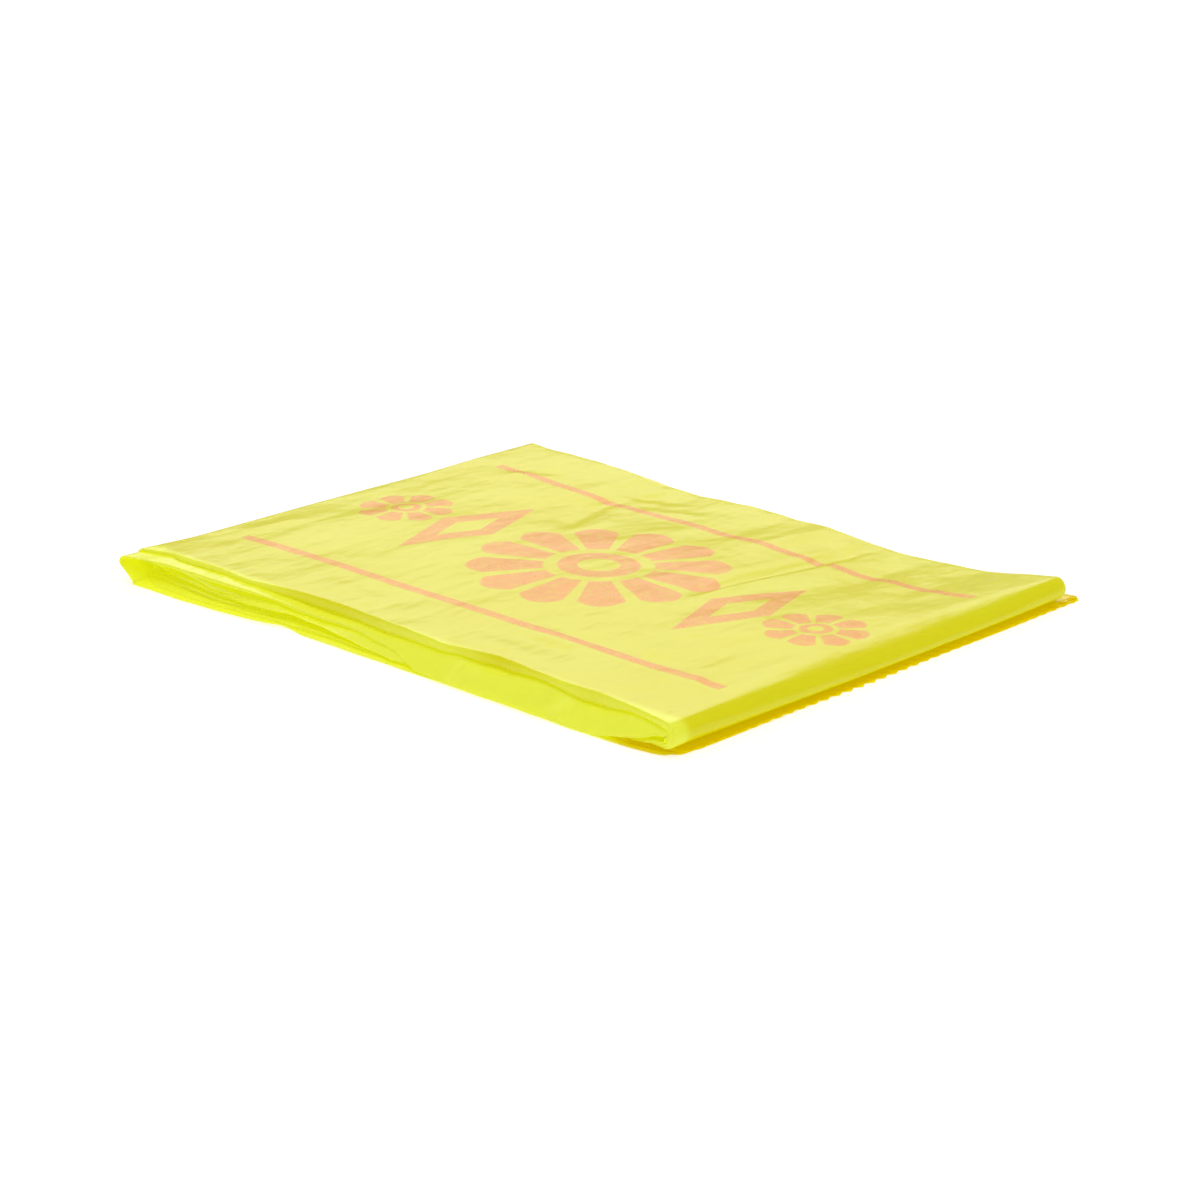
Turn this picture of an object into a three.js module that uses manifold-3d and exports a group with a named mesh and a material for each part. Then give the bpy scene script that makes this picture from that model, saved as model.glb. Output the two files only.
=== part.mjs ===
// A yellow polyethylene linen bag, folded flat the way it comes out of its carton.
//
// The bag is one piece of blown film: a flat tube, sealed at its foot and cut with a toothed
// knife at its mouth. It is folded twice across its width, which makes a strip eight plies
// thick, and the strip is then rolled flat along its length. From the cut mouth inwards the
// strip runs as the bottom panel, the outer turn, the top panel, the front roll, the lower
// inner panel, the inner turn, the upper inner panel and a short flap.
//
// Millimetres, +Z up. X runs along the folded length, from the outer turn (-X) to the front
// roll and the cut mouth (+X). Y runs across the panels. The origin is the centre of the
// footprint, on the surface that the bag lies on.

import * as THREE from "three";
import { mergeVertices } from "three/addons/utils/BufferGeometryUtils.js";
import Module from "manifold-3d";

const wasm = await Module();
wasm.setup();

// The folded strip
const STRIP_THICKNESS = 1.6; // eight plies of film and the air between them
const PANEL_GAP = 0.65; // air between one panel and the next
const FOLDED_LENGTH = 248; // from the outer turn to the front roll
const OUTER_TURN_SETBACK = 9; // from the outer turn to the inner turn, inside it
const OUTER_TURN_LEAN = 3; // how far the outer turn's top stands out over its foot
const ROLL_SETBACK = 7; // from the front roll to the flap's turn, inside it
const FLAP_LENGTH = 64;

// The parting between the two halves of the folded strip, along its near side (-Y)
const PARTING_HEIGHT = 0.3;
const PARTING_DEPTH = 12;

// The strip's width and its sideways shift, which both wander as it is rolled
const MOUTH = { width: 203, shift: 3.5 };
const OUTER_TURN = { width: 198, shift: -6 };
const TOP_PANEL = { width: 189, shift: 0.5 };
const FRONT_ROLL = { width: 194, shift: 0.5 };
const INNER_PANELS = { width: 188, shift: -1 };
const SPREAD_LENGTH = 12; // over which the top panel widens to the turns beside it

// The cut mouth
const MOUTH_REACH = 3.4; // how far the mouth stands out from under the front roll
const TOOTH_PITCH = 5.4;
const TOOTH_DEPTH = 1.3;

// The dip along the bag's far side (+Y), where no bulging folds prop it up
const DIP_SHARE = 0.5; // of the height, at the deepest place
const DIP_CENTRE_X = 12;
const DIP_HALF_LENGTH = 122;
const DIP_START_Y = -25; // where the dip begins, on its way to the far side

// How finely the panels, the turns and the folds are cut into flat faces
const GRID_STEP = 20;
const WIDTH_STEPS = 8;
const TURN_STEPS = 8;
const FOLD_STEPS = 2; // in each quarter of a round fold
const LEAST_STEP = 1;

// Heights of the panels' middle planes, from the bottom up
const LEVEL = STRIP_THICKNESS + PANEL_GAP;
const BOTTOM_Z = STRIP_THICKNESS / 2;
const LOWER_INNER_Z = BOTTOM_Z + LEVEL;
const FLAP_Z = LOWER_INNER_Z + LEVEL;
const UPPER_INNER_Z = FLAP_Z + LEVEL;
const TOP_Z = UPPER_INNER_Z + LEVEL;

// Ends of the straight stretches, where the turns begin
const LOW_X = -(FOLDED_LENGTH + MOUTH_REACH) / 2;
const MOUTH_X = LOW_X + FOLDED_LENGTH + MOUTH_REACH;
const ROLL_X = LOW_X + FOLDED_LENGTH;
const OUTER_TURN_FOOT_X = LOW_X + turnReach(BOTTOM_Z, TOP_Z, OUTER_TURN_LEAN);
const OUTER_TURN_TOP_X = OUTER_TURN_FOOT_X - OUTER_TURN_LEAN;
const FRONT_ROLL_X = ROLL_X - turnReach(LOWER_INNER_Z, TOP_Z);
const INNER_TURN_X = LOW_X + OUTER_TURN_SETBACK + turnReach(LOWER_INNER_Z, UPPER_INNER_Z);
const FLAP_TURN_X = ROLL_X - ROLL_SETBACK - turnReach(FLAP_Z, UPPER_INNER_Z);
const FLAP_END_X = FLAP_TURN_X - FLAP_LENGTH;

// How far a turn between two heights stands out past the lower stretch that it joins.
function turnReach(lowZ, highZ, lean = 0) {
  return lean / 2 + Math.hypot((highZ - lowZ) / 2, lean / 2) + STRIP_THICKNESS / 2;
}

// A station of the strip: where its middle is, which way its thickness points, and how it lies
// sideways, a share of the way from one place to the next.
function station(middle, heading, from, to, share) {
  return {
    middle,
    aside: new THREE.Vector2(-heading.y, heading.x).normalize(),
    width: THREE.MathUtils.lerp(from.width, to.width, share),
    shift: THREE.MathUtils.lerp(from.shift, to.shift, share),
  };
}

// A straight stretch at one height, with stations at its start and where it crosses the grid.
function straight(fromX, toX, z, from, to) {
  const side = Math.sign(toX - fromX);
  const start = fromX * side;
  const end = toX * side;
  const marks = [start];
  let line = Math.ceil((start + LEAST_STEP) / GRID_STEP) * GRID_STEP;
  while (line < end - LEAST_STEP) {
    marks.push(line);
    line += GRID_STEP;
  }
  const heading = new THREE.Vector2(side, 0);
  return marks.map((mark) => {
    const middle = new THREE.Vector2(mark * side, z);
    return station(middle, heading, from, to, (mark - start) / (end - start));
  });
}

// A half-round turn that bulges to -X (bulge -1) or to +X (bulge 1). The strip always turns
// clockwise, and a lean pushes the turn's top out over its foot.
function turn(footX, fromZ, toZ, bulge, place, lean = 0) {
  const radius = Math.abs(toZ - fromZ) / 2;
  const lowZ = Math.min(fromZ, toZ);
  const start = (bulge * Math.PI) / 2;
  const arc = new THREE.EllipseCurve(footX, lowZ + radius, radius, radius, start, start - Math.PI, true);
  return Array.from({ length: TURN_STEPS }, (_, step) => {
    const middle = arc.getPoint(step / TURN_STEPS);
    const heading = arc.getTangent(step / TURN_STEPS);
    const leanRate = (bulge * lean) / (2 * radius);
    middle.x += leanRate * (middle.y - lowZ);
    heading.x += leanRate * heading.y;
    return station(middle, heading, place, place, 0);
  });
}

// The strip's way from its cut mouth to the end of its flap.
function rolledWay() {
  const narrowX = OUTER_TURN_TOP_X + SPREAD_LENGTH;
  const widenX = FRONT_ROLL_X - SPREAD_LENGTH;
  const flapEnd = new THREE.Vector2(FLAP_END_X, FLAP_Z);
  return [
    ...straight(MOUTH_X, OUTER_TURN_FOOT_X, BOTTOM_Z, MOUTH, OUTER_TURN),
    ...turn(OUTER_TURN_FOOT_X, BOTTOM_Z, TOP_Z, -1, OUTER_TURN, OUTER_TURN_LEAN),
    ...straight(OUTER_TURN_TOP_X, narrowX, TOP_Z, OUTER_TURN, TOP_PANEL),
    ...straight(narrowX, widenX, TOP_Z, TOP_PANEL, TOP_PANEL),
    ...straight(widenX, FRONT_ROLL_X, TOP_Z, TOP_PANEL, FRONT_ROLL),
    ...turn(FRONT_ROLL_X, TOP_Z, LOWER_INNER_Z, 1, FRONT_ROLL),
    ...straight(FRONT_ROLL_X, INNER_TURN_X, LOWER_INNER_Z, FRONT_ROLL, INNER_PANELS),
    ...turn(INNER_TURN_X, LOWER_INNER_Z, UPPER_INNER_Z, -1, INNER_PANELS),
    ...straight(INNER_TURN_X, FLAP_TURN_X, UPPER_INNER_Z, INNER_PANELS, INNER_PANELS),
    ...turn(FLAP_TURN_X, UPPER_INNER_Z, FLAP_Z, 1, INNER_PANELS),
    ...straight(FLAP_TURN_X, FLAP_END_X, FLAP_Z, INNER_PANELS, INNER_PANELS),
    station(flapEnd, new THREE.Vector2(-1, 0), INNER_PANELS, INNER_PANELS, 1),
  ];
}

// The strip cut across, with x along its width and y in its thickness. The far side is one
// round fold. The near side is two, with the parting between them.
function stripSection(width) {
  const half = STRIP_THICKNESS / 2;
  const foldRadius = (STRIP_THICKNESS - PARTING_HEIGHT) / 4;
  const foldY = half - foldRadius;
  const nearX = -width / 2 + foldRadius;
  const farX = width / 2 - half;
  const section = new THREE.Shape();
  section.moveTo(nearX, -half);
  for (let step = 1; step < WIDTH_STEPS; step++) {
    section.lineTo(THREE.MathUtils.lerp(nearX, farX, step / WIDTH_STEPS), -half);
  }
  section.absarc(farX, 0, half, -Math.PI / 2, Math.PI / 2, false);
  for (let step = 1; step < WIDTH_STEPS; step++) {
    section.lineTo(THREE.MathUtils.lerp(farX, nearX, step / WIDTH_STEPS), half);
  }
  section.absarc(nearX, foldY, foldRadius, Math.PI / 2, (3 * Math.PI) / 2, false);
  section.lineTo(PARTING_DEPTH - width / 2, 0);
  section.absarc(nearX, -foldY, foldRadius, Math.PI / 2, (3 * Math.PI) / 2, false);
  return section;
}

// The share of its height that the bag keeps at a place in plan.
function heightShare(x, y) {
  const fromEnd = 1 - Math.abs(x - DIP_CENTRE_X) / DIP_HALF_LENGTH;
  const across = THREE.MathUtils.smoothstep(y, DIP_START_Y, FRONT_ROLL.width / 2);
  return 1 - DIP_SHARE * THREE.MathUtils.smoothstep(fromEnd, 0, 0.5) * across;
}

// The straight strip, one unit long for each station, is bent along its way and let down.
function rolledStrip() {
  const way = rolledWay();
  const lastStation = way.length - 1;
  const geometry = new THREE.ExtrudeGeometry(stripSection(TOP_PANEL.width), {
    depth: lastStation,
    steps: lastStation,
    curveSegments: FOLD_STEPS,
    bevelEnabled: false,
  });
  const points = geometry.getAttribute("position");
  for (let i = 0; i < points.count; i++) {
    const { middle, aside, width, shift } = way[Math.round(points.getZ(i))];
    const x = middle.x + aside.x * points.getY(i);
    const y = (points.getX(i) * width) / TOP_PANEL.width + shift;
    const z = middle.y + aside.y * points.getY(i);
    points.setXYZ(i, x, y, z * heightShare(x, y));
  }
  return geometry;
}

// What the toothed knife takes off the mouth: all that lies past a zigzag line.
function knifeWaste() {
  const teeth = Math.ceil(MOUTH.width / TOOTH_PITCH) + 1;
  const reach = (teeth * TOOTH_PITCH) / 2;
  const outline = new THREE.Shape();
  outline.moveTo(MOUTH_X + TOOTH_DEPTH, MOUTH.shift - reach);
  outline.lineTo(MOUTH_X + TOOTH_DEPTH, MOUTH.shift + reach);
  for (let tooth = 0; tooth < teeth; tooth++) {
    const rootY = MOUTH.shift + reach - tooth * TOOTH_PITCH;
    outline.lineTo(MOUTH_X - TOOTH_DEPTH, rootY);
    outline.lineTo(MOUTH_X, rootY - TOOTH_PITCH / 2);
  }
  outline.lineTo(MOUTH_X - TOOTH_DEPTH, MOUTH.shift - reach);
  const geometry = new THREE.ExtrudeGeometry(outline, { depth: LEVEL, bevelEnabled: false });
  return geometry.translate(0, 0, -PANEL_GAP / 2);
}

// A closed geometry as a solid that can be cut.
function solidOf(geometry) {
  geometry.deleteAttribute("normal");
  geometry.deleteAttribute("uv");
  const merged = mergeVertices(geometry);
  const vertProperties = new Float32Array(merged.getAttribute("position").array);
  const triVerts = new Uint32Array(merged.index.array);
  return new wasm.Manifold(new wasm.Mesh({ numProp: 3, vertProperties, triVerts }));
}

function foldedBag() {
  const solid = solidOf(rolledStrip()).subtract(solidOf(knifeWaste()));
  const { vertProperties, triVerts } = solid.getMesh();
  const geometry = new THREE.BufferGeometry();
  geometry.setAttribute("position", new THREE.BufferAttribute(vertProperties, 3));
  geometry.setIndex(new THREE.BufferAttribute(triVerts, 1));
  geometry.computeVertexNormals();
  const film = new THREE.MeshStandardMaterial({ color: 0xe9e63c, roughness: 0.32, metalness: 0 });
  const bag = new THREE.Mesh(geometry, film);
  bag.name = "folded_bag";
  return bag;
}

const linenBag = new THREE.Group();
linenBag.add(foldedBag());

export default linenBag;
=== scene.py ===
import math

import bpy
import numpy as np
from mathutils import Matrix, Vector


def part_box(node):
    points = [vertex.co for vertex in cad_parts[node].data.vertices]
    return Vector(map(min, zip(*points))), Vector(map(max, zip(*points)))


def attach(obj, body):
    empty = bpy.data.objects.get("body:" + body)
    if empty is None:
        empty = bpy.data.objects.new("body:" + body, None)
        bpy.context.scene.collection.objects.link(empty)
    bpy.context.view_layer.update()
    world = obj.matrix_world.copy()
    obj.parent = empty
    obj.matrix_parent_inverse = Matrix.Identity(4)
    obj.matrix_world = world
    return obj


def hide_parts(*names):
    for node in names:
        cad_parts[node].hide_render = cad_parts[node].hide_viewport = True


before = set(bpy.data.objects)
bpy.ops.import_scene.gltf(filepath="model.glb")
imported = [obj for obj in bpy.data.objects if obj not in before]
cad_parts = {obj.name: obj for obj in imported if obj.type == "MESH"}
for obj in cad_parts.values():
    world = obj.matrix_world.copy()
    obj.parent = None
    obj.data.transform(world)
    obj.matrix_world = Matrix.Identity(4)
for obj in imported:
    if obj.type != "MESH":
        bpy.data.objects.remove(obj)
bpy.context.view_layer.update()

# The bag is one tube of film. Lengths are millimetres until a mesh is made.
MM = 0.001
NODE = "folded_bag"
LOW_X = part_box(NODE)[0][0] / MM
HIGH_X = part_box(NODE)[1][0] / MM

# The camera, as the photograph was taken
CAMERA_PLACE = (715.1, -745.2, 344.5)
CAMERA_AZIMUTH = 43.8
CAMERA_DROP = 18.6
CAMERA_LENS = 96.0
CAMERA_SENSOR = 36.0

# The film, and the strip that it is folded into
PLY_GAP = 0.2
PLIES = 8
BAG_WIDTH = 775.0
QUARTER = BAG_WIDTH / 4

# Heights of the panels' middle planes
BOTTOM_Z = 0.85
LOWER_INNER_Z = 2.6
FLAP_Z = 5.1
UPPER_INNER_Z = 7.2
TOP_Z = 9.2
BOTTOM_PACK_TOP = 1.55

# The cut mouth
TOOTH_PITCH = 5.4
TOOTH_DEPTH = 1.7
MOUTH_BAND = 9.0  # the length of film behind the teeth that is meshed finely
PLY_SETBACKS = (1.6, 1.3, 0.9, 1.2, 0.3, 0.6, 0.5, 0.0)  # how far each ply's cut stands back


def smooth(low, high, value):
    """0 below low, 1 above high, and an easy slope between them."""
    share = np.clip((value - low) / (high - low), 0, 1)
    return share * share * (3 - 2 * share)


def wander(seed, lengths, value):
    """A smooth wandering between about -1 and 1, made of waves of the given lengths."""
    draw = np.random.default_rng(seed)
    total = np.zeros_like(value, dtype=float)
    for length in lengths:
        stretch = draw.uniform(0.85, 1.15)
        total += np.sin(value * 2 * math.pi / (length * stretch) + draw.uniform(0, 2 * math.pi))
    return total / len(lengths)


def between(marks, x, column=1):
    """A value at x, from marks that are in the order of x."""
    return np.interp(x, [mark[0] for mark in marks], [mark[column] for mark in marks])


# The strip's way

# Each corner of the way: panel that leads to it, x, z, and the radius it is rounded to
WAY_CORNERS = [
    ("mouth", HIGH_X - 0.7, BOTTOM_Z, 0),
    ("mouth", HIGH_X - 0.7 - MOUTH_BAND, BOTTOM_Z, 0),
    ("bottom", LOW_X + 6.0, BOTTOM_Z, 1.6),
    ("outer turn", LOW_X - 0.9, 6.5, 1.2),
    ("outer turn", LOW_X + 0.3, TOP_Z, 1.0),
    ("top", HIGH_X - 3.0, TOP_Z, 3.1),
    ("roll", HIGH_X - 3.0, LOWER_INNER_Z, 2.9),
    ("lower inner", LOW_X + 8.2, LOWER_INNER_Z, 2.0),
    ("inner turn", LOW_X + 8.2, UPPER_INNER_Z, 2.0),
    ("upper inner", HIGH_X - 13.5, UPPER_INNER_Z, 1.0),
    ("flap turn", HIGH_X - 13.5, FLAP_Z, 1.0),
    ("flap", HIGH_X - 78, FLAP_Z, 0),
]
ROW_STEPS = {
    "mouth": 1.5, "bottom": 8.0, "outer turn": 1.0, "top": 1.8, "roll": 0.9, "lower inner": 6.0,
    "inner turn": 0.9, "upper inner": 6.0, "flap turn": 1.0, "flap": 12.0,
}
TURN_STEP = math.radians(15)


def unit(vector):
    """A vector of the same direction and of length 1."""
    return vector / np.linalg.norm(vector)


def strip_way():
    """One stop for each row of the mesh: panel, x, z and the way that the strip runs there."""
    stops = []
    corners = [(panel, np.array([x, z]), radius) for panel, x, z, radius in WAY_CORNERS]
    leave = corners[0][1]
    for index in range(1, len(corners)):
        panel, corner, radius = corners[index]
        ahead = unit(corner - leave)
        after = unit(corners[index + 1][1] - corner) if radius else ahead
        bend = math.acos(np.clip(ahead @ after, -1, 1))
        reach = radius * math.tan(bend / 2)
        meet = corner - ahead * reach
        steps = max(1, round(np.linalg.norm(meet - leave) / ROW_STEPS[panel]))
        for step in range(steps):
            stops.append((panel, *(leave + (meet - leave) * step / steps), *ahead))
        turns = max(2, round(bend / TURN_STEP)) if radius else 0
        centre = meet + radius * np.array([ahead[1], -ahead[0]])
        for turn in range(turns):
            cos, sin = math.cos(bend * turn / turns), math.sin(bend * turn / turns)
            heading = np.array([ahead[0] * cos + ahead[1] * sin, ahead[1] * cos - ahead[0] * sin])
            place = centre + radius * np.array([-heading[1], heading[0]])
            stops.append((panel, *place, *heading))
        leave = corner + after * reach
    stops.append((panel, *corner, *ahead))
    return stops


class Way:
    """The way's stops as arrays, and values that follow it."""

    def __init__(self, stops):
        self.panel = np.array([stop[0] for stop in stops])
        self.x = np.array([stop[1] for stop in stops])
        self.z = np.array([stop[2] for stop in stops])
        self.heading = np.array([stop[3:5] for stop in stops])
        hops = np.hypot(np.diff(self.x), np.diff(self.z))
        self.length = np.concatenate([[0], np.cumsum(hops)])

    def at(self, panel, x):
        """The length along the way to a place on a panel."""
        rows = np.flatnonzero(self.panel == panel)
        order = rows[np.argsort(self.x[rows])]
        return float(np.interp(x, self.x[order], self.length[order]))

    def follow(self, marks):
        """A value for each stop, from marks of (panel, x, value)."""
        lengths = np.array([self.at(panel, x) for panel, x, _ in marks])
        values = np.array([value for _, _, value in marks], float)
        order = np.argsort(lengths)
        return np.interp(self.length, lengths[order], values[order])


way = Way(strip_way())

# The near side of the top panel, in millimetres

# The outer fold's side: x, how far it leans out, and the height at which it ends
OUTER_SIDE = [
    (-126, 0.5, 9.2), (-113, 0.8, 9.0), (-109, 1.8, 8.7), (-100, 1.6, 8.6), (-91, 1.2, 8.5),
    (-82, 0.8, 8.8), (-69, 0.6, 8.6), (-57, 0.4, 7.2), (-45, 0.4, 6.2), (-33, 0.5, 5.9),
    (-20, 0.5, 6.4), (-9, 0.5, 5.9), (3, 0.5, 6.5), (15, 0.4, 7.0), (27, 0.4, 7.3), (38, 0.5, 6.3),
    (49, 1.0, 6.6), (60, 0.6, 7.8), (71, 0.5, 7.4), (81, 0.5, 5.8), (92, 0.5, 6.1), (103, 0.4, 8.0),
    (112, 0.4, 7.9), (118, 0.4, 7.2),
]
# The middle fold's edge, which lies flat at one end and hangs to the floor at the other: x, y, z
MIDDLE_RIM = [
    (-126, -104.5, 9.3), (-118, -102.6, 9.2), (-109, -100.6, 9.0), (-100, -99.4, 8.7),
    (-91, -98.8, 8.4), (-82, -98.6, 8.4), (-69, -98.2, 8.3), (-57, -95.6, 7.0), (-45, -94.6, 5.9),
    (-33, -94.3, 5.6), (-20, -93.6, 5.2), (-9, -94.9, 4.4), (3, -96.8, 3.4), (9, -99, 2.2),
    (15, -101, 1.2), (27, -101.4, 0.6), (38, -101.5, 0.5), (60, -101.6, 0.45), (92, -101.6, 0.5),
    (99, -101, 1.2), (104, -100.4, 2.3), (108, -100, 3.0), (112, -99.3, 3.7), (116, -97.8, 4.8),
    (119, -96.8, 5.8),
]
# The middle fold's thickness at its edge: x, thickness
MIDDLE_THICKNESS = [
    (-126, 0.4), (-109, 1.0), (-82, 1.3), (-69, 1.0), (-57, 0.5), (-45, 1.2), (-33, 0.9), (-9, 0.9),
    (3, 0.6), (12, 0.25), (120, 0.25),
]
# The power by which the middle fold bends down towards its edge: x, power
MIDDLE_BEND = [(-126, 1.5), (-57, 1.6), (3, 1.5), (15, 1.2), (120, 1.1)]
# The inner fold's edge, which droops under the middle fold: x, y, z
INNER_RIM = [
    (-126, -95, 8.0), (-112, -96, 8.0), (-103, -98, 6.8), (-92, -98.5, 5.5), (-82, -99.5, 4.1),
    (-69, -99.5, 3.7), (-57, -99, 4.2), (-45, -97, 4.2), (-33, -97, 3.5), (-20, -98, 2.8),
    (-9, -99, 2.1), (3, -99.5, 1.5), (15, -98.5, 1.5), (40, -96, 2.5), (100, -96, 3), (119, -95.5, 6),
]
# The share of their height that the inner panels keep at the near side: x, share
INNER_PRESS = [
    (-120, 1), (-117, 0.95), (-110, 0.88), (-104, 0.8), (-95, 0.72), (-84, 0.6), (-72, 0.45),
    (-58, 0.3), (-40, 0.25), (60, 0.25), (100, 0.35), (114, 1),
]
# How far the inner panels' plies fan out at the near side: x, share of the ply gap
INNER_SPREAD = [
    (-116, 0), (-106, 1.3), (-96, 2.4), (-80, 2.4), (-60, 1.6), (-40, 0.6), (-20, 0), (120, 0),
]
SPREAD_REACH = 14.0
OUTER_PUFF_REACH = 18.0
MIDDLE_PUFF_REACH = 12.0
PRESS_REACH = 30.0
PRESS_START = -93.0  # y
ROLL_PUFF = 2.2
TOP_FREE = 0.5  # how far the outermost ply lies above the others
CRUMPLE_HEIGHT = 0.62
LIP_DROOP = 0.12  # a share of how far the bottom panel's lip stands out
TURN_FLARE = 1.0
TURN_SINK = 0.09  # the share of its height that the top loses beside the outer turn

# Where the folds' near edges run: panel, x, y
OUTER_FOLD = [
    ("mouth", 125, -94.5), ("mouth", 122, -97.2), ("mouth", 119, -98.5), ("bottom", 114, -99.8),
    ("bottom", 100, -100.7), ("bottom", 82, -101.2), ("bottom", 60, -100.2), ("bottom", 0, -100.6),
    ("bottom", -38, -100.8), ("bottom", -50, -98.5), ("bottom", -118, -99),
    ("outer turn", LOW_X, -97.5), ("top", -123, -95.8), ("top", -113.6, -92.7), ("top", -90, -92),
    ("top", -72, -93.6), ("top", -54, -90.5), ("top", -32, -89.5), ("top", -0.6, -91.3),
    ("top", 22, -92.9), ("top", 43, -89.1), ("top", 74.5, -92), ("top", 86.5, -91.1),
    ("top", 104.6, -93.1), ("top", 117, -95.2), ("roll", HIGH_X, -97), ("lower inner", 112, -96.5),
    ("lower inner", 100, -94), ("lower inner", 20, -92), ("lower inner", -45, -94),
    ("lower inner", -62, -98), ("lower inner", -85, -99.5), ("lower inner", -112, -97.5),
    ("upper inner", -112, -97), ("upper inner", -85, -99), ("upper inner", -62, -97),
    ("upper inner", -45, -93), ("upper inner", 15, -91), ("upper inner", 110, -91),
    ("flap", 105, -91), ("flap", 50, -91),
]
MIDDLE_FOLD = [
    ("mouth", 125, -95), ("bottom", 110, -98.8), ("bottom", -30, -98.5), ("bottom", -46, -99.5),
    ("bottom", -60, -102.9), ("bottom", -80, -104.8), ("bottom", -100, -105.8),
    ("bottom", -118, -106), ("outer turn", LOW_X, -105.8),
    *(("top", x, y) for x, y, _ in MIDDLE_RIM[1:-1]),
    ("roll", HIGH_X, -98.6), ("lower inner", 112, -99.3), ("lower inner", 100, -97),
    ("lower inner", 84, -92), ("lower inner", 20, -91), ("lower inner", -45, -95),
    ("lower inner", -60, -99), ("lower inner", -85, -100.8), ("lower inner", -112, -99.2),
    ("upper inner", -112, -98.6), ("upper inner", -90, -100), ("upper inner", -62, -98.5),
    ("upper inner", -45, -94), ("upper inner", 15, -90), ("upper inner", 110, -90), ("flap", 50, -90),
]
INNER_FOLD = [
    ("mouth", 125, -95.6), ("bottom", 60, -99.2), ("bottom", -40, -98.4), ("bottom", -60, -101),
    ("bottom", -95, -103.4), ("bottom", -114, -103), ("outer turn", LOW_X, -93),
    *(("top", x, y) for x, y, _ in INNER_RIM[1:-1]),
    ("roll", HIGH_X, -96), ("lower inner", 95, -92), ("lower inner", 20, -90),
    ("lower inner", -45, -94), ("lower inner", -60, -98), ("lower inner", -90, -99),
    ("lower inner", -112, -97), ("upper inner", -112, -96.5), ("upper inner", -62, -96.8),
    ("upper inner", -45, -93), ("upper inner", 15, -89), ("flap", 50, -88),
]
FAR_FOLD = [
    ("mouth", 125, 105), ("bottom", 110, 103.5), ("bottom", 60, 99), ("bottom", 0, 97),
    ("bottom", -60, 95), ("bottom", -118, 93), ("outer turn", LOW_X, 93.5), ("top", -110, 93.5),
    ("top", -60, 94.5), ("top", 0, 95.5), ("top", 60, 94), ("top", 105, 95.5), ("roll", HIGH_X, 97.5),
    ("lower inner", 90, 96), ("lower inner", 0, 95), ("lower inner", -112, 92.5),
    ("upper inner", -112, 92.5), ("upper inner", 0, 94), ("upper inner", 110, 94), ("flap", 50, 92),
]


def fold_edge(marks, seed, waviness):
    """An edge's y at each stop, with the small waves that a loose fold has."""
    return way.follow(marks) + waviness * wander(seed, (14, 23, 41), way.length)


OUTER_EDGE = fold_edge(OUTER_FOLD, 11, 0.15)
MIDDLE_EDGE = fold_edge(MIDDLE_FOLD, 12, 0.2)
INNER_EDGE = fold_edge(INNER_FOLD, 13, 0.4)
FAR_EDGE = fold_edge(FAR_FOLD, 14, 0.5)
ON_TOP = way.panel == "top"
OUTER_LEAN = np.where(ON_TOP, between(OUTER_SIDE, way.x), 0.3)
OUTER_PUFF = way.follow([
    ("bottom", -118, 0.1), ("outer turn", LOW_X, 0.1),
    *(("top", x, TOP_Z + 0.1 - z) for x, _, z in OUTER_SIDE[1:-1]),
    ("roll", HIGH_X, ROLL_PUFF), ("lower inner", 116, 0.6), ("lower inner", 100, 0),
])

# The tube's wall as one closed round: each run's ply level, counted outwards, and its way,
# which is from the near side to the far side (+1) or back (-1). Levels 4 to 7 meet in the outer
# fold, 2 and 3 in the middle fold, and 0 and 1 in the inner fold.
RUNS = [
    (1, 1), (6, -1), (5, 1), (2, -1), (3, 1), (4, -1), (7, 1), (0, -1),
]
NEAR_EDGES = {
    0: INNER_EDGE, 1: INNER_EDGE, 2: MIDDLE_EDGE, 3: MIDDLE_EDGE, 4: OUTER_EDGE - OUTER_LEAN,
    5: OUTER_EDGE + 1.0, 6: OUTER_EDGE + 1.0, 7: OUTER_EDGE,
}
FAR_INSET = {0: 0, 7: 0, 1: 0.9, 6: 0.9, 2: 1.9, 5: 1.9, 3: 3.0, 4: 3.0}
EDGE_OFFSETS = [0, 0.8, 1.9, 3.4, 5.6, 8.5, 13, 20, 30, 48]
EDGE_STEP = 0.6  # how far a run's first column stands behind the fold's edge
FINE_STEP = 2.7
TURN_COLUMNS = 5


def run_columns(level, near, far, fine):
    """The y of each column of a run, from its near edge to its far edge."""
    if fine or level == PLIES - 1:
        count = round(QUARTER / FINE_STEP)
        columns = [near + (far - near) * step / count for step in range(count + 1)]
        columns.insert(1, near + EDGE_STEP)
    else:
        columns = [near + offset for offset in EDGE_OFFSETS]
        columns += [near + (far - near) * share for share in (0.36, 0.5, 0.64)]
        columns += [far - offset for offset in reversed(EDGE_OFFSETS)]
    return np.concatenate(columns, axis=1)


# How the film lies

FAR_HEIGHTS = [
    (-126, 0.90), (-112, 0.88), (-90, 0.83), (-68, 0.72), (-56, 0.57), (-39, 0.53), (-15, 0.64),
    (6, 0.60), (23, 0.64), (34, 0.54), (44, 0.47), (63, 0.45), (92, 0.56), (106, 0.80), (123, 1.02),
]
ROLL_CREST = [  # where the top starts to fall to the roll: y, x
    (-97, 121.4), (-83, 120.7), (-50, 115), (-17, 110.5), (13, 109.5), (42, 110.4), (71, 112), (96, 120),
]
ROLL_CREST_END = 123.5
ROLL_CREST_FALL = 3.0
ROLL_CREST_REACH = 14.0


def height_share(x, y):
    """The share of its height that the stack keeps, which falls towards the far side."""
    at_far_side = between(FAR_HEIGHTS, x)
    return 1 - (1 - at_far_side) * smooth(-25, 97, y)


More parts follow.
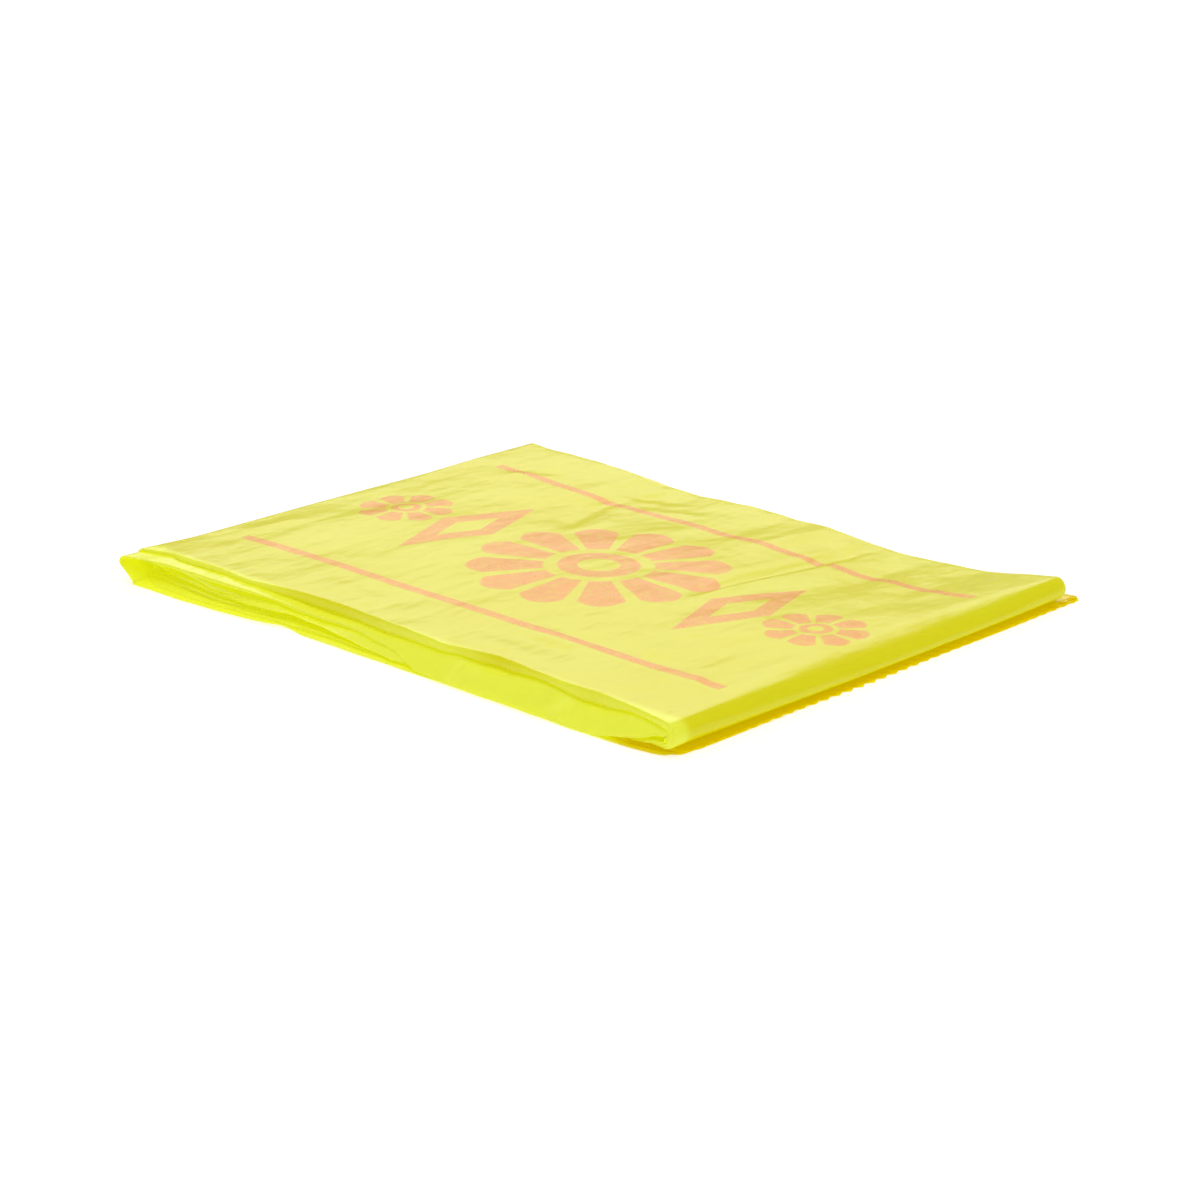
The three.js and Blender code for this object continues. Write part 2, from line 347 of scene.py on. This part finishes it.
def crease(x, y, start, end, width, height, skew=0.0):
    """A straight crease that fades at both ends. With skew, one side is higher than the other."""
    start, end = np.array(start, float), np.array(end, float)
    length = np.linalg.norm(end - start)
    along = (end - start) / length
    u = (x - start[0]) * along[0] + (y - start[1]) * along[1]
    v = -(x - start[0]) * along[1] + (y - start[1]) * along[0]
    fade = smooth(-width, length * 0.3, u) * (1 - smooth(length * 0.7, length + width, u))
    shape = np.exp(-(v / width) ** 2)
    slope = skew * v / width * np.exp(-(v / (2.2 * width)) ** 2)
    return height * fade * (shape + slope)


CREASE_DEPTH = 1.5  # multiplies the heights of all creases
# Creases of the top panel: start, end, width, height, skew
TOP_CREASES = [
    ((43, -14), (49, 95), 1.7, -0.75, 0.9),
    ((52, 12), (57, 95), 5.5, 0.55, 0.2),
    ((36, 20), (40, 95), 4.0, 0.3, 0.0),
    ((-39, 22), (-56, 66), 2.2, -0.55, 0.8),
    ((-33, 30), (-50, 74), 3.2, 0.45, -0.5),
    ((-58, 72), (-30, 84), 2.6, -0.45, 0.7),
    ((-44, 64), (-16, 74), 3.0, 0.4, -0.6),
    ((-62, 50), (-50, 95), 4.5, 0.4, 0.3),
    ((-106, 60), (-88, 72), 3.2, -0.35, 0.6),
    ((-100, 44), (-92, 88), 5.0, 0.3, 0.3),
    ((32, 88), (52, 76), 2.6, 0.4, 0.6),
    ((72, 44), (68, 84), 3.5, -0.4, 0.6),
    ((84, 30), (78, 70), 4.5, 0.35, 0.2),
    ((100, 50), (90, 84), 3.5, 0.3, 0.5),
    ((-117, -58), (-112, -34), 3.0, 0.3, 0.4),
    ((-108, -20), (-98, 20), 5.0, -0.25, 0.3),
    ((66, -66), (28, -60), 1.8, 0.22, 0.5),
    ((62, -72), (24, -70), 1.6, -0.2, 0.5),
    ((58, -80), (18, -80), 1.8, 0.2, 0.4),
    ((88, -60), (52, -50), 2.4, -0.22, 0.5),
    ((104, -74), (96, -30), 3.2, 0.28, 0.4),
    ((92, -20), (86, 24), 4.0, -0.25, 0.5),
    ((-20, -78), (-58, -74), 2.6, 0.22, 0.5),
    ((-70, -84), (-104, -80), 2.4, -0.2, 0.4),
    ((0, 40), (4, 92), 6.0, -0.3, 0.3),
    ((18, 52), (22, 94), 3.4, 0.3, 0.5),
]


def top_relief(x, y):
    """The creases and soft dents of the top panel, as a height to add."""
    relief = 0.3 * wander(31, (61, 97), x + 0.35 * y) * wander(32, (73, 118), y - 0.2 * x)
    relief += 0.09 * wander(33, (17, 26), x + 0.2 * y) * wander(34, (31, 52), y)
    for start, end, width, height, skew in TOP_CREASES:
        relief += crease(x, y, start, end, width, CREASE_DEPTH * height, skew)
    edge_streaks = 0.12 * wander(35, (7, 11, 15), x + 0.25 * y)
    relief += edge_streaks * (1 - smooth(-92, -70, y)) * smooth(-60, -20, x)
    return relief


def slope_relief(x, y):
    """The small wrinkles of the middle fold where it hangs to the floor."""
    relief = 0.34 * wander(41, (9, 14, 22), x + 3.2 * y) * smooth(5, 25, x)
    relief += crease(x, y, (58, -95.5), (84, -97.5), 1.0, -0.8, 0.6)
    relief += crease(x, y, (22, -97.8), (52, -98.6), 0.8, -0.6, 0.5)
    relief += crease(x, y, (40, -96.2), (56, -96.8), 0.8, 0.5, 0.5)
    return relief


def crumple(x, y):
    """The crumpling of the inner panels' plies at the near side."""
    waves = wander(51, (13, 21), x + 1.8 * y) + 0.7 * wander(52, (6, 9.5), x - 1.5 * y)
    return CRUMPLE_HEIGHT * waves * (1 - smooth(-97, -84, y)) * smooth(-116, -104, x)


def mouth_setback(level, y):
    """How far a ply's toothed cut stands back from the mouth's foremost line."""
    tooth = np.abs((y / TOOTH_PITCH + 0.37 * level) % 1 - 0.5) * 2
    corner = 1.2 * (1 - smooth(-97, -84, y))
    drift = 0.35 * wander(61 + level, (70, 160), y)
    return PLY_SETBACKS[level] + TOOTH_DEPTH * tooth + corner + drift


def lay(level, y, rows):
    """Places of one run's columns: arrays of x, y and z, for rows by columns."""
    along_x, along_z = way.x[rows][:, None], way.z[rows][:, None]
    heading = way.heading[rows]
    panel = way.panel[rows][:, None]
    on_top = panel == "top"
    on_turn = panel == "outer turn"
    on_roll = panel == "roll"
    on_bottom = (panel == "bottom") | (panel == "mouth")
    inside = ~(on_top | on_turn | on_roll | on_bottom)
    outer = OUTER_EDGE[rows][:, None]
    inward = y - outer

    # The outer fold stands open at its edge, and what lies under it is pressed down.
    puff = OUTER_PUFF[rows][:, None] * (1 - smooth(0, OUTER_PUFF_REACH, inward))
    fan = 1 + inside * between(INNER_SPREAD, along_x) * (1 - smooth(0, SPREAD_REACH, inward))
    lift = (level - (PLIES - 1) / 2) * PLY_GAP * fan - puff * min(1, (PLIES - 1 - level) / 3)
    x = along_x - heading[:, 1][:, None] * lift
    z = along_z + heading[:, 0][:, None] * lift

    # The middle and inner folds reach past the outer fold beside the top panel.
    thickness = between(MIDDLE_THICKNESS, along_x)
    if level <= 2:
        z = z - on_top * thickness * (1 - smooth(0, MIDDLE_PUFF_REACH, inward))
    if level <= 3:
        rim = MIDDLE_RIM if level >= 2 else INNER_RIM
        rim_y = (MIDDLE_EDGE if level >= 2 else INNER_EDGE)[rows][:, None]
        rim_z = between(rim, along_x, 2) - (level == 2) * thickness - (level == 0) * PLY_GAP
        root_z = TOP_Z + (level - 3.5) * PLY_GAP - OUTER_PUFF[rows][:, None]
        root_z = root_z - (level <= 2) * thickness
        power = between(MIDDLE_BEND, along_x) if level >= 2 else 1.3
        share = np.clip(-inward / np.maximum(outer - rim_y, 0.5), 0, 1) ** power
        z = z + on_top * (inward < 0) * (rim_z - root_z) * share
        if level >= 2:
            z = z + on_top * slope_relief(x, y) * (share - share ** 2) * 4

    # The inner panels are pressed down beside the near side, and crumpled.
    press = 1 - (1 - between(INNER_PRESS, along_x)) * (1 - smooth(0, PRESS_REACH, y - PRESS_START))
    pressed = BOTTOM_PACK_TOP + (z - BOTTOM_PACK_TOP) * press
    pressed = pressed + crumple(x, y) * smooth(BOTTOM_PACK_TOP, 3.0, pressed)
    z = np.where(inside, pressed, z)

    # The bottom panel's lip droops to the floor.
    z = z - on_bottom * LIP_DROOP * np.maximum(-inward, 0)
    # The outer turn flares at the near side.
    x = x - on_turn * TURN_FLARE * (1 - smooth(-105, -88, y)) * smooth(1, 6, z)
    # The top falls to the roll, and a little to the outer turn.
    crest = np.interp(y, *zip(*ROLL_CREST))
    fall = np.clip((x - crest) / (ROLL_CREST_END - crest), 0, 1) ** 2
    fall = fall * ROLL_CREST_FALL * (ROLL_CREST_END - crest) / ROLL_CREST_REACH
    z = z - (on_top | on_roll) * fall * np.clip(z / TOP_Z, 0, 1)
    sink = TURN_SINK * (1 - smooth(-126, -92, x)) * smooth(-96, -70, y) * (1 - smooth(30, 70, y))
    z = z * (1 - sink * (on_top | on_turn))

    relief = top_relief(x, y) * smooth(-126, -112, x) * (1 - smooth(108, 121, x))
    z = z + relief * on_top * (inward > 0) * smooth(0, 3, inward)
    # The outermost ply lies free of the others, so that they don't show through its dents.
    z = z - on_top * (level < PLIES - 1) * TOP_FREE * smooth(2, 12, inward)
    z = z * height_share(x, y)

    # The mouth's cut
    at_cut = 1 - smooth(0, MOUTH_BAND, way.length[rows])[:, None]
    x = x - mouth_setback(level, y) * at_cut
    return x, y, np.maximum(z, 0.06)


def turn_columns(start, end, side):
    """The columns between two runs, round the fold that joins them."""
    columns = []
    reach = np.linalg.norm(start - end, axis=0) / 2
    bulge = np.minimum(reach, EDGE_STEP)
    for step in range(1, TURN_COLUMNS):
        cos = math.cos(math.pi * step / TURN_COLUMNS)
        sin = math.sin(math.pi * step / TURN_COLUMNS)
        middle = (start + end) / 2 + (start - end) / 2 * math.copysign(abs(cos) ** 0.6, cos)
        middle[1] += side * bulge * sin ** 0.6
        columns.append(middle)
    return np.concatenate(columns, axis=2)


def film_sheet(rows, fine):
    """The whole closed round of the tube over some rows, as grids of places and flat places."""
    grids, flats = [], []
    for index, (level, direction) in enumerate(RUNS):
        following = RUNS[(index + 1) % len(RUNS)][0]
        near = NEAR_EDGES[level][rows][:, None] + EDGE_STEP
        far = FAR_EDGE[rows][:, None] - FAR_INSET[level] - EDGE_STEP
        y = run_columns(level, near, far, fine)
        if direction < 0:
            y = y[:, ::-1]
        grids.append(np.stack(lay(level, y, rows)))
        flats.append(level + 0.5 + y / QUARTER)
        following_near = NEAR_EDGES[following][rows][:, None] + EDGE_STEP
        ends = (far, far) if direction > 0 else (near, following_near)
        start = np.stack(lay(level, ends[0], rows))
        end = np.stack(lay(following, ends[1], rows))
        turn = turn_columns(start, end, direction)
        grids.append(turn)
        flats.append(level + 0.5 + turn[1] / QUARTER)
    return np.concatenate(grids, axis=2), np.concatenate(flats, axis=1)


def grid_faces(rows, columns, start):
    """Quads of a grid that closes on itself across its columns."""
    row, column = np.meshgrid(np.arange(rows - 1), np.arange(columns), indexing="ij")
    after = (column + 1) % columns
    a = start + row * columns + column
    b = start + row * columns + after
    return np.stack([a, b, b + columns, a + columns], axis=-1).reshape(-1, 4)


def film_mesh():
    """The film as one mesh: the finely meshed mouth, then the rest of the bag."""
    seam = int(np.flatnonzero(way.panel == "bottom")[0])
    parts = [(np.arange(seam + 1), True), (np.arange(seam, len(way.x)), False)]
    places, faces, flat_places = [], [], []
    count = 0
    for rows, fine in parts:
        grid, flat = film_sheet(rows, fine)
        columns = grid.shape[2]
        places.append(grid.reshape(3, -1).T * MM)
        faces.append(grid_faces(len(rows), columns, count))
        along = np.repeat(way.length[rows][:, None], columns, axis=1)
        flat_places.append(np.stack([flat * QUARTER, along], axis=-1).reshape(-1, 2) * MM)
        count += len(rows) * columns
    mesh = bpy.data.meshes.new("bag_film")
    mesh.from_pydata(np.concatenate(places).tolist(), [], np.concatenate(faces).tolist())
    mesh.update()
    mesh.polygons.foreach_set("use_smooth", [True] * len(mesh.polygons))
    corners = np.zeros(len(mesh.loops), int)
    mesh.loops.foreach_get("vertex_index", corners)
    flat_map = mesh.uv_layers.new(name="flat")
    flat_map.data.foreach_set("uv", np.concatenate(flat_places)[corners].reshape(-1))
    piece = bpy.data.objects.new("bag_film", mesh)
    bpy.context.scene.collection.objects.link(piece)
    return piece


# Materials

class Value:
    """A node's output. Python's operators on it add Math nodes."""

    def __init__(self, nodes, output):
        self.nodes = nodes
        self.output = output

    def math(self, operation, *values):
        sockets = dict(enumerate(values))
        return self.nodes.add("ShaderNodeMath", {"operation": operation}, sockets)

    def __add__(self, other):
        return self.math("ADD", self, other)

    __radd__ = __add__

    def __sub__(self, other):
        return self.math("SUBTRACT", self, other)

    def __rsub__(self, other):
        return self.math("SUBTRACT", other, self)

    def __mul__(self, other):
        return self.math("MULTIPLY", self, other)

    __rmul__ = __mul__

    def __truediv__(self, other):
        return self.math("DIVIDE", self, other)

    def __abs__(self):
        return self.math("ABSOLUTE", self)

    def least(self, other):
        return self.math("MINIMUM", self, other)

    def most(self, other):
        return self.math("MAXIMUM", self, other)

    def root(self):
        return self.math("SQRT", self)

    def sine(self):
        return self.math("SINE", self)

    def angle(self, along):
        """The angle of a place that lies this far across and that far along."""
        return self.math("ARCTAN2", self, along)

    def ramp(self, low, high):
        """0 at low, 1 at high, eased between them."""
        settings = {"interpolation_type": "SMOOTHSTEP"}
        sockets = {"Value": self, "From Min": low, "From Max": high}
        return self.nodes.add("ShaderNodeMapRange", settings, sockets)


class Nodes:
    """The nodes of one material or world."""

    def __init__(self, owner):
        owner.use_nodes = True
        self.tree = owner.node_tree
        self.tree.nodes.clear()

    def add(self, kind, settings=None, sockets=None, output=0):
        """A node: its settings first, then the values or links of its sockets."""
        node = self.tree.nodes.new(kind)
        for name, setting in (settings or {}).items():
            setattr(node, name, setting)
        for name, value in (sockets or {}).items():
            if isinstance(value, Value):
                self.tree.links.new(value.output, node.inputs[name])
            else:
                node.inputs[name].default_value = value
        if output is not None:
            return Value(self, node.outputs[output])

    def parts(self, vector):
        """The three numbers of a vector."""
        return [self.add("ShaderNodeSeparateXYZ", None, {0: vector}, output) for output in range(3)]

    def blend(self, factor, first, second):
        """A colour between two colours."""
        settings = {"data_type": "RGBA"}
        sockets = {"Factor": factor, 6: first, 7: second}
        return self.add("ShaderNodeMix", settings, sockets, output=2)

    def noise(self, place, scale, detail=2.0, stretch=(1, 1, 1)):
        """Noise between 0 and 1. The scale is in lumps per metre."""
        size = {"Vector": place, "Scale": tuple(scale * share for share in stretch)}
        spread = self.add("ShaderNodeMapping", {"vector_type": "POINT"}, size)
        return self.add("ShaderNodeTexNoise", None, {"Vector": spread, "Scale": 1.0, "Detail": detail})


FILM_PANEL = (0.73, 0.76, 0.001, 1)  # the film over its own plies
FILM_PAINTED_LIGHT = (0.86, 0.98, 0.10, 1)  # a painted lighter, greener copy of the film for the inner folds and the near side, standing in for light that comes through the loose plies
FILM_DEEP = (0.78, 0.72, 0.001, 1)  # where the plies under it lie close
FILM_MOUTH_SHADE = (0.76, 0.60, 0.001, 1)  # all plies, one on the other, made darker with painted shade from the roll above
FILM_THROUGH = (0.98, 0.91, 0.002, 1)  # light that comes through the film
PAINTED_GLOW = (1.0, 0.92, 0.0, 1)  # a painted glow: light that the film gives out by itself even where no light reaches it, standing in for the fluorescent dye and lighting its shaded crevices
PAINTED_GLOW_STRENGTH = 0.17
THROUGH_SHARE = 0.36
INK_COVER = 0.2  # how much of that share the ink takes away
WRINKLE_DEPTH = 0.0019
INK = (0.78, 0.13, 0.005, 1)
PRINT_MIDDLE = (way.at("top", 0) * MM, 7.5 * QUARTER * MM)


def rosette(along, across, radius, petals):
    """A ring of round petals about a small ring."""
    distance = (along * along + across * across).root()
    turn = across.angle(along)
    petal = (turn * (petals / 2)).sine()
    lobe = abs(petal).ramp(0.30, 0.42)
    reach = distance / radius
    outline = reach.ramp(0.40, 0.43) * (1 - (reach + (1 - abs(petal)) * 0.16).ramp(0.97, 1.0))
    ring = reach.ramp(0.15, 0.17) * (1 - reach.ramp(0.30, 0.32))
    return (outline * lobe).most(ring)


def lozenges(along, across, length, width):
    """A lozenge with a smaller lozenge cut out of it."""
    distance = abs(along) / length + abs(across) / width
    return distance.ramp(0.44, 0.47) * (1 - distance.ramp(0.97, 1.0))


def print_mask(nodes, flat):
    """Where the generic printed band of rosettes and lozenges has ink."""
    u, v, _ = nodes.parts(flat)
    along = v - PRINT_MIDDLE[0]
    across = u - PRINT_MIDDLE[1]
    aside = abs(along)
    mask = rosette(along, across, 0.046, 12)
    mask = mask.most(lozenges(aside - 0.064, across, 0.013, 0.034))
    mask = mask.most(rosette(aside - 0.096, across, 0.018, 8))
    stripe = abs(abs(across) - 0.062)
    line = (1 - stripe.ramp(0.0018, 0.0022)) * (1 - aside.ramp(0.1115, 0.112))
    mask = mask.most(line)
    return mask * (1 - abs(across).ramp(0.074, 0.075))


def film_material():
    """Fluorescent yellow polyethylene film, with its print and its small wrinkles, a painted glow, a
    painted lighter near side and painted shade at the mouth.
    """
    material = bpy.data.materials.new("film")
    nodes = Nodes(material)
    place = nodes.add("ShaderNodeTexCoord", output="Object")
    flat = nodes.add("ShaderNodeUVMap", {"uv_map": "flat"})
    plies = nodes.parts(flat)[0] / (QUARTER * MM)
    edge = (0 - nodes.parts(place)[1]).ramp(0.0885, 0.0925)
    painted_light_mask = (1 - plies.ramp(3.97, 4.03)).most(edge)

    clouds = nodes.noise(place, 14, 3.0)
    grain = nodes.noise(place, 900, 1.0)
    colour = nodes.blend(clouds.ramp(0.35, 0.75) * 0.3, FILM_PANEL, FILM_DEEP)
    # Painted light: the inner folds and the near side are painted lighter and greener than the top
    # panel.
    colour = nodes.blend(painted_light_mask, colour, FILM_PAINTED_LIGHT)
    # The tail at the mouth: partly the real colour of all plies stacked, partly painted shade under the
    # roll.
    colour = nodes.blend(1 - nodes.parts(flat)[1].ramp(0.016, 0.03), colour, FILM_MOUTH_SHADE)

    # The ink is thin and a little patchy.
    ink = print_mask(nodes, flat)
    patches = nodes.noise(flat, 260, 4.0)
    ink = ink * (0.80 + 0.35 * patches.ramp(0.3, 0.7)).least(1.0)
    colour = nodes.blend(ink * 0.95, colour, INK)

    streaks = nodes.noise(place, 100, 3.0, (1.0, 0.22, 1.0))
    dents = nodes.noise(place, 38, 3.0, (1.0, 0.7, 1.0))
    pleats = nodes.noise(place, 330, 2.0, (1.0, 0.3, 1.0))
    height = dents * 1.0 + streaks * 0.3 + pleats * 0.05
    wrinkles = {"Strength": 0.8, "Distance": WRINKLE_DEPTH, "Height": height}
    bump = nodes.add("ShaderNodeBump", None, wrinkles)
    gloss = 0.13 + 0.14 * clouds + 0.03 * grain + 0.05 * ink

    # The emission is a painted glow that brightens the film's shaded crevices.
    shell = nodes.add("ShaderNodeBsdfPrincipled", None, {
        "Base Color": colour, "Roughness": gloss, "IOR": 1.5, "Normal": bump,
        "Emission Color": PAINTED_GLOW, "Emission Strength": PAINTED_GLOW_STRENGTH,
    })
    glow = nodes.add("ShaderNodeBsdfTranslucent", None, {"Color": FILM_THROUGH, "Normal": bump})
    share = THROUGH_SHARE - INK_COVER * ink
    mixed = nodes.add("ShaderNodeMixShader", None, {0: share, 1: shell, 2: glow})
    nodes.add("ShaderNodeOutputMaterial", None, {"Surface": mixed}, output=None)
    return material


film = film_mesh()
film.data.materials.append(film_material())
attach(film, "root")
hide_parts(NODE)


# The studio

FLOOR_HALF = 3.0
FLOOR_GREY = (0.6, 0.6, 0.6, 1)
FLOOR_GLOW = 0.56


def make_floor():
    """A plain white floor."""
    half = FLOOR_HALF
    mesh = bpy.data.meshes.new("floor")
    corners = [(-half, -half, 0), (half, -half, 0), (half, half, 0), (-half, half, 0)]
    mesh.from_pydata(corners, [], [(0, 1, 2, 3)])
    floor = bpy.data.objects.new("floor", mesh)
    bpy.context.scene.collection.objects.link(floor)
    material = bpy.data.materials.new("floor")
    nodes = Nodes(material)
    shader = nodes.add("ShaderNodeBsdfPrincipled", None, {
        "Base Color": FLOOR_GREY, "Roughness": 0.9, "Specular IOR Level": 0.1,
        "Emission Color": (1, 1, 1, 1), "Emission Strength": FLOOR_GLOW,
    })
    nodes.add("ShaderNodeOutputMaterial", None, {"Surface": shader}, output=None)
    floor.data.materials.append(material)


def make_camera():
    """The camera, where the photograph was taken from."""
    azimuth, drop = math.radians(CAMERA_AZIMUTH), math.radians(CAMERA_DROP)
    camera = bpy.data.objects.new("camera", bpy.data.cameras.new("camera"))
    camera.data.lens = CAMERA_LENS
    camera.data.sensor_width = CAMERA_SENSOR
    camera.data.clip_start = 0.01
    level = math.cos(drop)
    forward = Vector((-math.sin(azimuth) * level, math.cos(azimuth) * level, -math.sin(drop)))
    facing = forward.to_track_quat("-Z", "Y").to_matrix().to_4x4()
    camera.matrix_world = Matrix.Translation(Vector(CAMERA_PLACE) * MM) @ facing
    bpy.context.scene.collection.objects.link(camera)
    bpy.context.scene.camera = camera


# The studio's light: an even soft light, a soft light overhead and one behind the bag
ROOM = 0.42
OVERHEAD = 1.5
SOFTBOX = 2.1
SOFTBOX_HEIGHT = 28.0  # degrees above the table


def make_light():
    """The world's light, which is brighter overhead and behind the bag."""
    world = bpy.data.worlds.new("studio")
    bpy.context.scene.world = world
    nodes = Nodes(world)
    direction = nodes.add("ShaderNodeTexCoord", output="Generated")
    azimuth, rise = math.radians(CAMERA_AZIMUTH), math.radians(SOFTBOX_HEIGHT)
    level = math.cos(rise)
    behind = (-math.sin(azimuth) * level, math.cos(azimuth) * level, math.sin(rise))
    sides = {0: direction, 1: behind}
    facing = nodes.add("ShaderNodeVectorMath", {"operation": "DOT_PRODUCT"}, sides, "Value")
    height = nodes.parts(direction)[2]
    strength = ROOM + OVERHEAD * height.ramp(0.78, 0.95) + SOFTBOX * facing.ramp(0.94, 0.9945)
    sky = nodes.add("ShaderNodeBackground", None, {"Color": (1.0, 0.98, 0.95, 1), "Strength": strength})
    nodes.add("ShaderNodeOutputWorld", None, {"Surface": sky}, output=None)
    bpy.context.scene.view_settings.view_transform = "Standard"


make_floor()
make_camera()
make_light()
